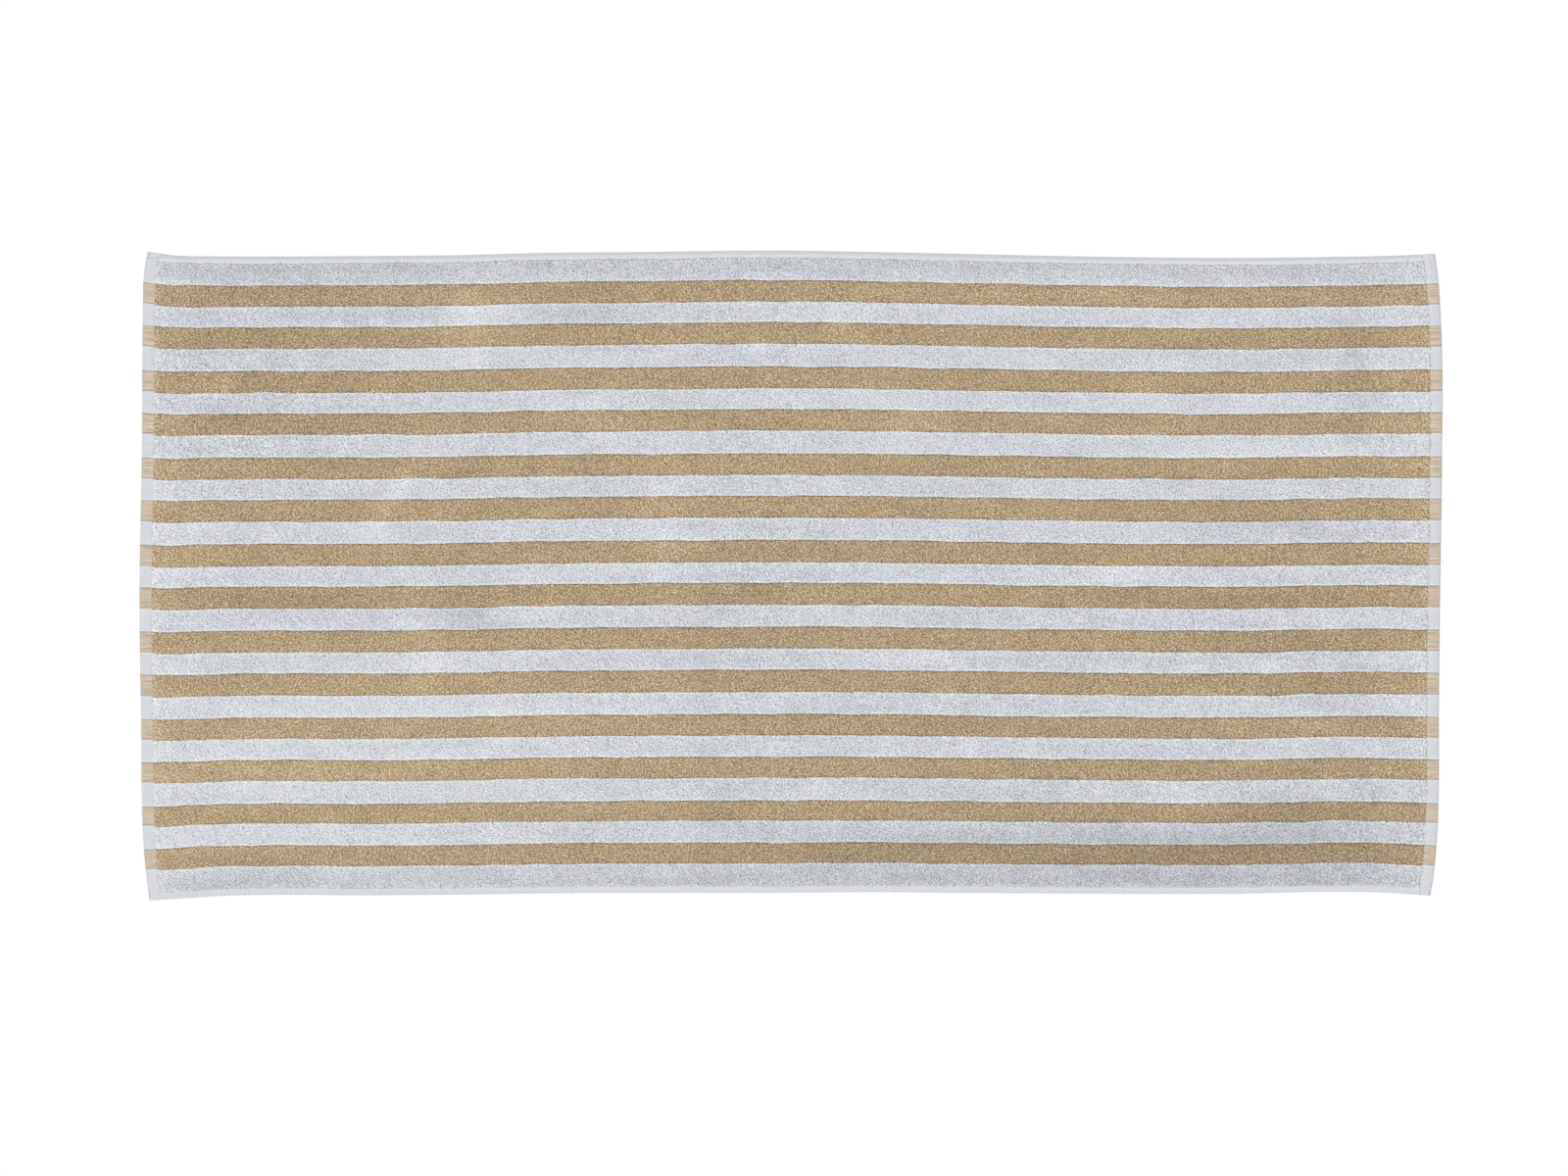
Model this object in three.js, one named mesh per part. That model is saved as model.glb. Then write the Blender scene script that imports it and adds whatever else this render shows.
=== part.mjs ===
// Bath towel laid out flat: one piece of striped terry cloth, hemmed on all four sides.
//
// Millimetres, +Z up. X runs along the towel and the stripes, Y runs across it. The origin is on the
// surface that the towel lies on, under the middle of its outline.
//
// The cloth is worked out in its own coordinates first, "along" and "across", as if it were a true
// rectangle. It is then laid: its sides and ends are moved to where the real, slightly pulled cloth has them.

import * as THREE from 'three';
import { mergeVertices } from 'three/addons/utils/BufferGeometryUtils.js';

// Driving dimensions of the woven piece, hems included
const LENGTH = 1400;
const WIDTH = 688;

// Ground cloth with loops on both faces, and the flat-woven hems, which have no loops
const PILE_THICKNESS = 4;
const HEM_THICKNESS = 2;
const END_HEM_WIDTH = 14.5;
const SIDE_HEM_WIDTH = 7;

// Distance over which the loops rise from a hem to their full height, and the rounding of a hem's fold
const PILE_SHOULDER = 2.5;
const FOLD_ROUND = 0.8;

// Spacing of the faces' grid lines over the pile
const GRID_STEP = 28;

const WEAVE_COLOUR = 0xc1b8ac;
const WEAVE_ROUGHNESS = 0.95;

// How the two long sides lie, at stations along the towel. "far" and "near" are how much each side is
// moved towards +Y from where a true rectangle has it. The far side is the one at +Y.
const LONG_SIDES = [
  { along: -700, far: 3.6, near: -6.4 },
  { along: -672, far: 0.1, near: -4.9 },
  { along: -621, far: -1.1, near: -1.5 },
  { along: -570, far: -1.3, near: -0.4 },
  { along: -470, far: -0.8, near: -0.9 },
  { along: -370, far: 0.1, near: -0.3 },
  { along: -270, far: 2.6, near: 1.2 },
  { along: -165, far: 3.6, near: 1.8 },
  { along: -15, far: 5.1, near: 1.8 },
  { along: 90, far: 3.6, near: 2.5 },
  { along: 190, far: 1.5, near: 1.7 },
  { along: 340, far: -1.6, near: 0.9 },
  { along: 495, far: -2.8, near: 0.9 },
  { along: 595, far: -1.6, near: 2.9 },
  { along: 650, far: -0.5, near: 2.0 },
  { along: 700, far: 1.6, near: -1.4 },
];

// How the two ends lie, at stations across the towel. "left" and "right" are how much each end is moved
// towards +X from where a true rectangle has it. The left end is the one at -X.
const ENDS = [
  { across: -344, left: 8.8, right: -11.7 },
  { across: -315, left: 5.2, right: -7.4 },
  { across: -285, left: 2.6, right: -4.8 },
  { across: -225, left: 0.6, right: -2.7 },
  { across: -155, left: 0.1, right: -2.6 },
  { across: -80, left: -1.3, right: -2.0 },
  { across: 0, left: -1.6, right: -1.0 },
  { across: 50, left: -0.8, right: -0.1 },
  { across: 130, left: 0.8, right: 0.8 },
  { across: 240, left: 1.4, right: 0.8 },
  { across: 295, left: 2.1, right: -1.6 },
  { across: 322, left: 3.0, right: -3.7 },
  { across: 344, left: 6.4, right: -6.7 },
];

// Soft swells and hollows of the pile's face. Each is a smooth hump about its middle, which fades out over
// its two reaches. The first row is the crease left where the towel was folded in half.
const SWELLS = [
  { along: -25, across: 60, reachAlong: 34, reachAcross: 420, rise: -0.35 },
  { along: -490, across: -215, reachAlong: 190, reachAcross: 110, rise: 0.5 },
  { along: -330, across: 255, reachAlong: 70, reachAcross: 60, rise: 0.4 },
  { along: -415, across: 85, reachAlong: 60, reachAcross: 70, rise: 0.35 },
  { along: -590, across: 180, reachAlong: 120, reachAcross: 90, rise: -0.35 },
  { along: 130, across: 200, reachAlong: 190, reachAcross: 90, rise: 0.3 },
  { along: 470, across: -60, reachAlong: 160, reachAcross: 80, rise: -0.3 },
  { along: 540, across: -275, reachAlong: 170, reachAcross: 60, rise: -0.45 },
  { along: 420, across: 130, reachAlong: 120, reachAcross: 70, rise: 0.3 },
];

const HALF_LENGTH = LENGTH / 2;
const HALF_WIDTH = WIDTH / 2;

// A smooth curve through the rows of a table: a function from a station to the row's other columns there.
function curveThrough(rows, station, columns) {
  const stations = rows.map((row) => row[station]);
  const values = rows.flatMap((row) => columns.map((column) => row[column]));
  const curve = new THREE.CubicInterpolant(stations, values, columns.length);
  return (at) => [...curve.evaluate(at)];
}

const longSidesAt = curveThrough(LONG_SIDES, 'along', ['near', 'far']);
const endsAt = curveThrough(ENDS, 'across', ['left', 'right']);

// Where a point of the cloth lies, in plan. Each side's shift fades evenly towards the opposite side.
function laid(along, across) {
  const [near, far] = longSidesAt(along);
  const [left, right] = endsAt(across);
  const x = along + THREE.MathUtils.lerp(left, right, along / LENGTH + 0.5);
  const y = across + THREE.MathUtils.lerp(near, far, across / WIDTH + 0.5);
  return [x, y];
}

// How much of the pile's height there is so far in from an edge: none on its hem, and all past the shoulder.
function pileShare(fromEdge, hemWidth) {
  return THREE.MathUtils.smoothstep(fromEdge, hemWidth, hemWidth + PILE_SHOULDER);
}

function swellAt(along, across) {
  let rise = 0;
  for (const swell of SWELLS) {
    const u = (along - swell.along) / swell.reachAlong;
    const v = (across - swell.across) / swell.reachAcross;
    rise += swell.rise * Math.exp(-(u * u + v * v));
  }
  return rise;
}

// Height of the upper face over the surface that the towel lies on. The fold at the very edge of a hem
// is round, so there both faces meet at half the hem's thickness.
function upperHeight(along, across) {
  const fromEnd = HALF_LENGTH - Math.abs(along);
  const fromSide = HALF_WIDTH - Math.abs(across);
  if (Math.min(fromEnd, fromSide) <= 0) {
    return HEM_THICKNESS / 2;
  }
  const pile = pileShare(fromEnd, END_HEM_WIDTH) * pileShare(fromSide, SIDE_HEM_WIDTH);
  return HEM_THICKNESS + pile * (PILE_THICKNESS + swellAt(along, across) - HEM_THICKNESS);
}

// The lower face lies flat on the surface, as far as the round fold.
function lowerHeight(along, across) {
  const onEdge = Math.abs(along) >= HALF_LENGTH || Math.abs(across) >= HALF_WIDTH;
  return onEdge ? HEM_THICKNESS / 2 : 0;
}

// Grid lines over one direction of the cloth: even over the pile, and close together over the shoulder,
// the hem and its fold.
function gridLines(half, hemWidth) {
  const pileEdge = half - hemWidth - PILE_SHOULDER;
  const hemLines = [half - hemWidth, half - FOLD_ROUND, half];
  const count = Math.round((2 * pileEdge) / GRID_STEP);
  const pileLines = [];
  for (let i = 0; i <= count; i += 1) {
    pileLines.push(-pileEdge + (2 * pileEdge * i) / count);
  }
  const mirrored = hemLines.map((line) => -line).reverse();
  return [...mirrored, ...pileLines, ...hemLines];
}

// One face of the cloth as a grid of triangles, wound so that an upper face looks up.
function faceTriangles(heightAt, looksUp) {
  const alongLines = gridLines(HALF_LENGTH, END_HEM_WIDTH);
  const acrossLines = gridLines(HALF_WIDTH, SIDE_HEM_WIDTH);
  const corner = (i, j) => {
    const [x, y] = laid(alongLines[i], acrossLines[j]);
    return [x, y, heightAt(alongLines[i], acrossLines[j])];
  };
  const positions = [];
  for (let i = 0; i + 1 < alongLines.length; i += 1) {
    for (let j = 0; j + 1 < acrossLines.length; j += 1) {
      const a = corner(i, j);
      const b = corner(i + 1, j);
      const c = corner(i + 1, j + 1);
      const d = corner(i, j + 1);
      const turn = looksUp ? [a, b, c, a, c, d] : [a, c, b, a, d, c];
      positions.push(...turn.flat());
    }
  }
  return positions;
}

// The towel is its two faces, which share the line of their round edge.
function towelGeometry() {
  const positions = [
    ...faceTriangles(upperHeight, true),
    ...faceTriangles(lowerHeight, false),
  ];
  const loose = new THREE.BufferGeometry();
  loose.setAttribute('position', new THREE.Float32BufferAttribute(positions, 3));
  const sheet = mergeVertices(loose);
  sheet.computeBoundingBox();
  const middle = sheet.boundingBox.getCenter(new THREE.Vector3());
  sheet.translate(-middle.x, -middle.y, 0);
  sheet.computeVertexNormals();
  return sheet;
}

const cloth = new THREE.MeshStandardMaterial({
  color: WEAVE_COLOUR,
  roughness: WEAVE_ROUGHNESS,
  metalness: 0,
});

const towel = new THREE.Mesh(towelGeometry(), cloth);
towel.name = 'towel';

const bathTowel = new THREE.Group();
bathTowel.add(towel);

export default bathTowel;
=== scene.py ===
"""The looks of a striped terry bath towel that lies flat, seen from straight above.

Everything is in metres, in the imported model's frame: X along the towel and its stripes, Y across it and
Z up, with the origin on the surface that the towel lies on. A point of the cloth is first worked out in
the cloth's own straight coordinates, "along" and "across", and laid() moves it to where the slightly
pulled cloth lies.
"""

import math

import bpy
import numpy as np
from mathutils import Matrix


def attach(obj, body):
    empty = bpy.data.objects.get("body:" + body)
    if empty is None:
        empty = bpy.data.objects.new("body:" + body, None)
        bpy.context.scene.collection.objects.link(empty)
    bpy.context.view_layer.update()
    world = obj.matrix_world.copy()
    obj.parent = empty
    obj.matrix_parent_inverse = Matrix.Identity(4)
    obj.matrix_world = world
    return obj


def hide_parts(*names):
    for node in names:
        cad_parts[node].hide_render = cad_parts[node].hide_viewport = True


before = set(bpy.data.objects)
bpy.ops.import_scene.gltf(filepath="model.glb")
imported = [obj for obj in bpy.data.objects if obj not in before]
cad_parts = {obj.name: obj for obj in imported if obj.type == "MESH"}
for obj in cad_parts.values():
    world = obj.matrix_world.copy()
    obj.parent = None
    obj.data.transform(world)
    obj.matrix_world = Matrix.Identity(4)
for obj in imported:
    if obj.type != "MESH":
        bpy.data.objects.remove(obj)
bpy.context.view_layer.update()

MM = 0.001

# ---------------- the cloth's sizes

LENGTH = 1400 * MM
WIDTH = 688 * MM
HALF_LENGTH = LENGTH / 2
HALF_WIDTH = WIDTH / 2
PILE_TOP = 4.0 * MM
HEM_TOP = 2.0 * MM

# How far in from the towel's edge a hem ends, its seam runs and the pile begins. The pile lies a little
# over the hem, and rises to its full height over the shoulder.
END_HEM = 14.5 * MM
SIDE_HEM = 8.8 * MM
END_SEAM = 11.3 * MM
SIDE_SEAM = 4.0 * MM
END_PILE = 13.8 * MM
SIDE_PILE = 7.8 * MM
PILE_EDGE = 1.1 * MM
PILE_SHOULDER = 6.0 * MM


def table(columns, *rows):
    """The rows of a table, each as a dict that has the columns' names."""
    return [dict(zip(columns.split(), row)) for row in rows]


# Where the long sides lie, in mm: how far each is moved towards +Y from where a true rectangle has it.
LONG_SIDES = table(
    "along far near",
    (-700, 3.6, -6.4),
    (-672, 0.1, -4.9),
    (-621, -1.1, -1.5),
    (-570, -1.3, -0.4),
    (-470, -0.8, -0.9),
    (-370, 0.1, -0.3),
    (-270, 2.6, 1.2),
    (-165, 3.6, 1.8),
    (-15, 5.1, 1.8),
    (90, 3.6, 2.5),
    (190, 1.5, 1.7),
    (340, -1.6, 0.9),
    (495, -2.8, 0.9),
    (595, -1.6, 2.9),
    (650, -0.5, 2.0),
    (700, 1.6, -1.4),
)

# Where the two ends lie, in mm: how far each is moved towards +X from where a true rectangle has it.
ENDS = table(
    "across left right",
    (-344, 8.8, -11.7),
    (-315, 5.2, -7.4),
    (-285, 2.6, -4.8),
    (-225, 0.6, -2.7),
    (-155, 0.1, -2.6),
    (-80, -1.3, -2.0),
    (0, -1.6, -1.0),
    (50, -0.8, -0.1),
    (130, 0.8, 0.8),
    (240, 1.4, 0.8),
    (295, 2.1, -1.6),
    (322, 3.0, -3.7),
    (344, 6.4, -6.7),
)

# Soft swells and hollows of the pile's face, in mm. The first is the crease of the towel's middle fold.
SWELLS = table(
    "along across reach_along reach_across rise",
    (-25, 60, 34, 420, -0.35),
    (-490, -215, 190, 110, 0.5),
    (-330, 255, 70, 60, 0.4),
    (-415, 85, 60, 70, 0.35),
    (-590, 180, 120, 90, -0.35),
    (130, 200, 190, 90, 0.3),
    (470, -60, 160, 80, -0.3),
    (540, -275, 170, 60, -0.45),
    (420, 130, 120, 70, 0.3),
)

# Painted light and shade on the pile: patches where it looks lighter or darker, as brushed pile does in the
# light, in mm and in percent of its light. turn is in degrees.
PAINTED_PILE_LIGHT = table(
    "along across reach_along reach_across turn light",
    (-470, -183, 300, 110, 0, 7),
    (-515, -212, 170, 11, 0, 11),
    (-290, -150, 120, 9, 0, 7),
    (-427, 88, 50, 9, 58, 24),
    (-340, 276, 38, 36, 0, 19),
    (-335, 235, 12, 30, 25, 8),
    (-618, 207, 26, 14, 50, 15),
    (-575, 235, 120, 90, 0, -7),
    (-632, 254, 16, 14, 0, -12),
    (-606, 172, 24, 10, 0, -15),
    (-546, -25, 90, 11, 0, -12),
    (-640, 22, 45, 20, 0, 12),
    (-345, -46, 30, 40, 0, -10),
    (-390, -95, 24, 40, 0, 10),
    (-283, 150, 30, 8, 70, 10),
    (-208, 165, 26, 20, 0, 12),
    (-140, 38, 30, 60, 0, 12),
    (-222, 280, 70, 26, 0, -9),
    (61, 271, 26, 26, 0, 10),
    (-35, 245, 36, 7, -75, 10),
    (288, 302, 170, 12, 0, 9),
    (130, 160, 36, 22, 0, 11),
    (30, -7, 18, 6, 0, -15),
    (151, -91, 45, 10, 0, 13),
    (160, -163, 90, 10, 0, -9),
    (383, 186, 30, 36, 0, 9),
    (341, 3, 50, 13, 0, 11),
    (352, -19, 45, 7, 0, -13),
    (520, 136, 100, 10, 0, 13),
    (490, 60, 120, 16, 0, -9),
    (530, -26, 150, 9, 0, -14),
    (531, -68, 110, 12, 0, -11),
    (594, -120, 50, 25, 0, -11),
    (605, 207, 20, 80, 0, -11),
    (425, -241, 46, 20, 0, 15),
    (530, -285, 250, 60, 0, -16),
    (190, -300, 330, 34, 0, -12),
    (-310, -140, 110, 45, 0, 3),
    (240, -80, 100, 90, 0, -3),
    (530, 240, 60, 40, 0, -3),
)

# The tan stripes from the far side to the near one, one pitch apart. Each row gives, in mm, how far its
# stripe is woven off its even place, towards the far side, and how wide it is.
STRIPE_PITCH = 46.35 * MM
TAN_STRIPES = table(
    "shift width",
    (0.1, 23.1),
    (1.4, 23.2),
    (0.3, 23.7),
    (1.2, 23.1),
    (0.0, 23.3),
    (0.7, 23.7),
    (-0.7, 24.1),
    (-0.2, 23.8),
    (-1.0, 23.6),
    (-1.1, 24.0),
    (-1.8, 22.9),
    (-1.0, 22.6),
    (-1.0, 21.4),
    (0.0, 22.1),
)


# ---------------- the cloth's shape

OUTLINE_POINTS = 401


def curve_through(rows, station, column, at):
    """A smooth curve through one column of a table, read at some stations. All values are in mm."""
    stations = np.array([row[station] for row in rows], float)
    values = np.array([row[column] for row in rows], float)
    slopes = np.gradient(values, stations)
    i = np.clip(np.searchsorted(stations, at) - 1, 0, len(rows) - 2)
    step = stations[i + 1] - stations[i]
    t = np.clip((at - stations[i]) / step, 0, 1)
    start = (1 + 2 * t) * (1 - t) ** 2 * values[i] + t * (1 - t) ** 2 * step * slopes[i]
    end = t * t * (3 - 2 * t) * values[i + 1] + t * t * (t - 1) * step * slopes[i + 1]
    return start + end


def shifted(along, across):
    """Plan positions of points of the cloth, before the outline's middle is put over the origin."""
    near, far = (curve_through(LONG_SIDES, "along", side, along / MM) * MM for side in ("near", "far"))
    left, right = (curve_through(ENDS, "across", end, across / MM) * MM for end in ("left", "right"))
    x = along + left + (right - left) * (along / LENGTH + 0.5)
    off_middle = across / HALF_WIDTH
    y = across + (far + near) / 2 + (far - near) / 2 * off_middle * np.abs(off_middle)
    return x, y


def outline_middle():
    """The middle of the laid outline's box."""
    sweep = np.linspace(-1, 1, OUTLINE_POINTS)
    edge = np.ones_like(sweep)
    along = np.concatenate([sweep, sweep, edge, -edge]) * HALF_LENGTH
    across = np.concatenate([edge, -edge, sweep, sweep]) * HALF_WIDTH
    x, y = shifted(along, across)
    return (x.min() + x.max()) / 2, (y.min() + y.max()) / 2


MIDDLE = outline_middle()


def laid(along, across, height):
    """Points in space for points of the cloth, as an array with X, Y and Z last."""
    x, y = shifted(along, across)
    return np.stack([x - MIDDLE[0], y - MIDDLE[1], np.broadcast_to(height, x.shape)], -1)


def swell(along, across):
    """How far the pile's face stands over or under its usual height."""
    rise = np.zeros_like(along)
    for row in SWELLS:
        u = (along / MM - row["along"]) / row["reach_along"]
        v = (across / MM - row["across"]) / row["reach_across"]
        rise += row["rise"] * MM * np.exp(-(u * u + v * v))
    return rise


def brushed(along, across):
    """The painted light and shade of the pile at a place, against 1 for its usual light."""
    light = np.ones_like(along)
    for row in PAINTED_PILE_LIGHT:
        turn = math.radians(row["turn"])
        off_along, off_across = along / MM - row["along"], across / MM - row["across"]
        u = (off_along * math.cos(turn) + off_across * math.sin(turn)) / row["reach_along"]
        v = (off_across * math.cos(turn) - off_along * math.sin(turn)) / row["reach_across"]
        light += row["light"] / 100 * np.exp(-(u * u + v * v))
    return light


def smooth_share(value, low, high):
    """0 up to low, 1 from high on, and a smooth rise between them."""
    t = np.clip((value - low) / (high - low), 0, 1)
    return t * t * (3 - 2 * t)


def pile_share(along, across, before, after):
    """0 on the hems and 1 on the pile, rising between two distances past the pile's edge."""
    from_end = smooth_share(HALF_LENGTH - np.abs(along), END_PILE + before, END_PILE + after)
    from_side = smooth_share(HALF_WIDTH - np.abs(across), SIDE_PILE + before, SIDE_PILE + after)
    return from_end * from_side


# Painted shade and light in the pile's colour: it is darker inside the long sides, and lighter towards the
# ends and where it begins beside a hem.
SIDE_SHADE = 0.12
SIDE_SHADE_REACH = 19 * MM
END_GLOW = 0.07
END_GLOW_REACH = 45 * MM
FIRST_GLOW = {"left": 0.06, "right": 0.20, "near": 0.02, "far": 0.13}
FIRST_GLOW_REACH = 3.2 * MM

# Painted shade of an old crease across the near part of the towel: the pile is darker to its right, most of
# all beside it.
CREASE_PLACE = -104 * MM
CREASE_STEP = 4 * MM
CREASE_REACH = 120 * MM
CREASE_TOP = 90 * MM
CREASE_FADE = 80 * MM
CREASE_SHADE = 0.05


def first_glow(past_edge, place, low_name, high_name):
    """How much painted light makes the loops lighter where the pile begins, at the low or high one of two
    hems.
    """
    glow = np.where(place > 0, FIRST_GLOW[high_name], FIRST_GLOW[low_name])
    return glow * np.exp(-(np.maximum(past_edge, 0) / FIRST_GLOW_REACH) ** 2)


def crease_light(along, across):
    """The painted shade of the pile for where it lies from the crease."""
    past = along - CREASE_PLACE
    crease = smooth_share(past, 0, CREASE_STEP) * np.exp(-np.maximum(past, 0) / CREASE_REACH)
    near_part = smooth_share(-across, -CREASE_TOP, -CREASE_TOP + CREASE_FADE)
    return 1 - CREASE_SHADE * crease * near_part


def edge_light(along, across):
    """The painted light and shade of the pile for where it lies from the towel's edges and from the crease.
    """
    from_side = HALF_WIDTH - SIDE_HEM - np.abs(across)
    from_end = HALF_LENGTH - END_HEM - np.abs(along)
    beside = 1 - SIDE_SHADE * np.exp(-(from_side / SIDE_SHADE_REACH) ** 2)
    towards_end = 1 + END_GLOW * np.exp(-(from_end / END_GLOW_REACH) ** 2)
    first_at_end = first_glow(HALF_LENGTH - END_PILE - np.abs(along), along, "left", "right")
    first_at_side = first_glow(HALF_WIDTH - SIDE_PILE - np.abs(across), across, "near", "far")
    return beside * towards_end * (1 + first_at_end + first_at_side) * crease_light(along, across)


def soft_field(seed, reach):
    """A smooth random field over the cloth with bumps about as wide as reach, mostly between -1 and 1."""
    waves = 40
    spread = 0.35
    rng = np.random.default_rng(seed)
    turn = rng.uniform(0, 2 * math.pi, waves)
    size = rng.normal(1, spread, waves) * math.pi / reach
    phase = rng.uniform(0, 2 * math.pi, waves)

    def field(along, across):
        total = np.zeros(np.shape(along))
        for t, k, p in zip(turn, size, phase):
            total += np.cos(k * (math.cos(t) * along + math.sin(t) * across) + p)
        return total / math.sqrt(waves)

    return field


WEAVE_DRIFT = 0.35 * MM
FINE_DRIFT = 0.22 * MM
wide_drift = soft_field(seed=31, reach=30 * MM)
fine_drift = soft_field(seed=32, reach=9 * MM)


def drift(along, across):
    """How far the weave wanders off its straight line, across the stripes."""
    return WEAVE_DRIFT * wide_drift(along, across) + FINE_DRIFT * fine_drift(along, across)


def bands():
    """Each stripe from the near side to the far one: its colour, low edge and high edge."""
    found = []
    reached = -HALF_WIDTH
    for i, row in enumerate(reversed(TAN_STRIPES)):
        middle = (i - (len(TAN_STRIPES) - 1) / 2) * STRIPE_PITCH + row["shift"] * MM
        low, high = middle - row["width"] * MM / 2, middle + row["width"] * MM / 2
        found += [("white", reached, low), ("tan", low, high)]
        reached = high
    return found + [("white", reached, HALF_WIDTH)]


BANDS = bands()


# ---------------- meshes

def new_object(name, data):
    """A new object in the scene."""
    made = bpy.data.objects.new(name, data)
    bpy.context.scene.collection.objects.link(made)
    return made


def flat(values):
    """Numbers in one long row, as a mesh takes them in."""
    return np.ascontiguousarray(values, np.float32).ravel()


def add_piece(name, points, faces, materials, face_slots=None, maps=None):
    """A smooth-shaded mesh object. maps holds UV maps by name, as pairs for each point."""
    mesh = bpy.data.meshes.new(name)
    sides = faces.shape[1]
    mesh.vertices.add(len(points))
    mesh.vertices.foreach_set("co", flat(points))
    mesh.loops.add(faces.size)
    mesh.loops.foreach_set("vertex_index", faces.astype(np.int32).ravel())
    mesh.polygons.add(len(faces))
    mesh.polygons.foreach_set("loop_start", np.arange(0, faces.size, sides, dtype=np.int32))
    for material in materials:
        mesh.materials.append(material)
    if face_slots is not None:
        mesh.polygons.foreach_set("material_index", face_slots.astype(np.int32))
    mesh.update(calc_edges=True)
    for map_name, uv in (maps or {}).items():
        layer = mesh.uv_layers.new(name=map_name)
        layer.uv.foreach_set("vector", flat(uv[faces.ravel()]))
    mesh.shade_smooth()
    piece = new_object(name, mesh)
    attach(piece, "root")
    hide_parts("towel")
    return piece


def set_attribute(piece, name, values):
    """A number for each of the piece's points, which its material reads by name."""
    attribute = piece.data.attributes.new(name, "FLOAT", "POINT")
    attribute.data.foreach_set("value", flat(values))


def grid_faces(rows, columns, around=False):
    """The four-sided faces of a grid of points. With around True the last column joins the first."""
    i = np.arange(rows - 1)[:, None]
    j = np.arange(columns if around else columns - 1)[None, :]
    after = (j + 1) % columns
    corners = (i * columns + j, (i + 1) * columns + j, (i + 1) * columns + after, i * columns + after)
    return np.stack(np.broadcast_arrays(*corners), -1).reshape(-1, 4)


# ---------------- materials

# No colour is lighter than this, in any channel.
WHITEST = 1.0

CLOTH_SHINE = 0.2
PILE_ROUGHNESS = 0.95
HEM_ROUGHNESS = 0.85
THREAD_ROUGHNESS = 0.7
SHEEN = 0.3
SHEEN_ROUGHNESS = 0.5


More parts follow.
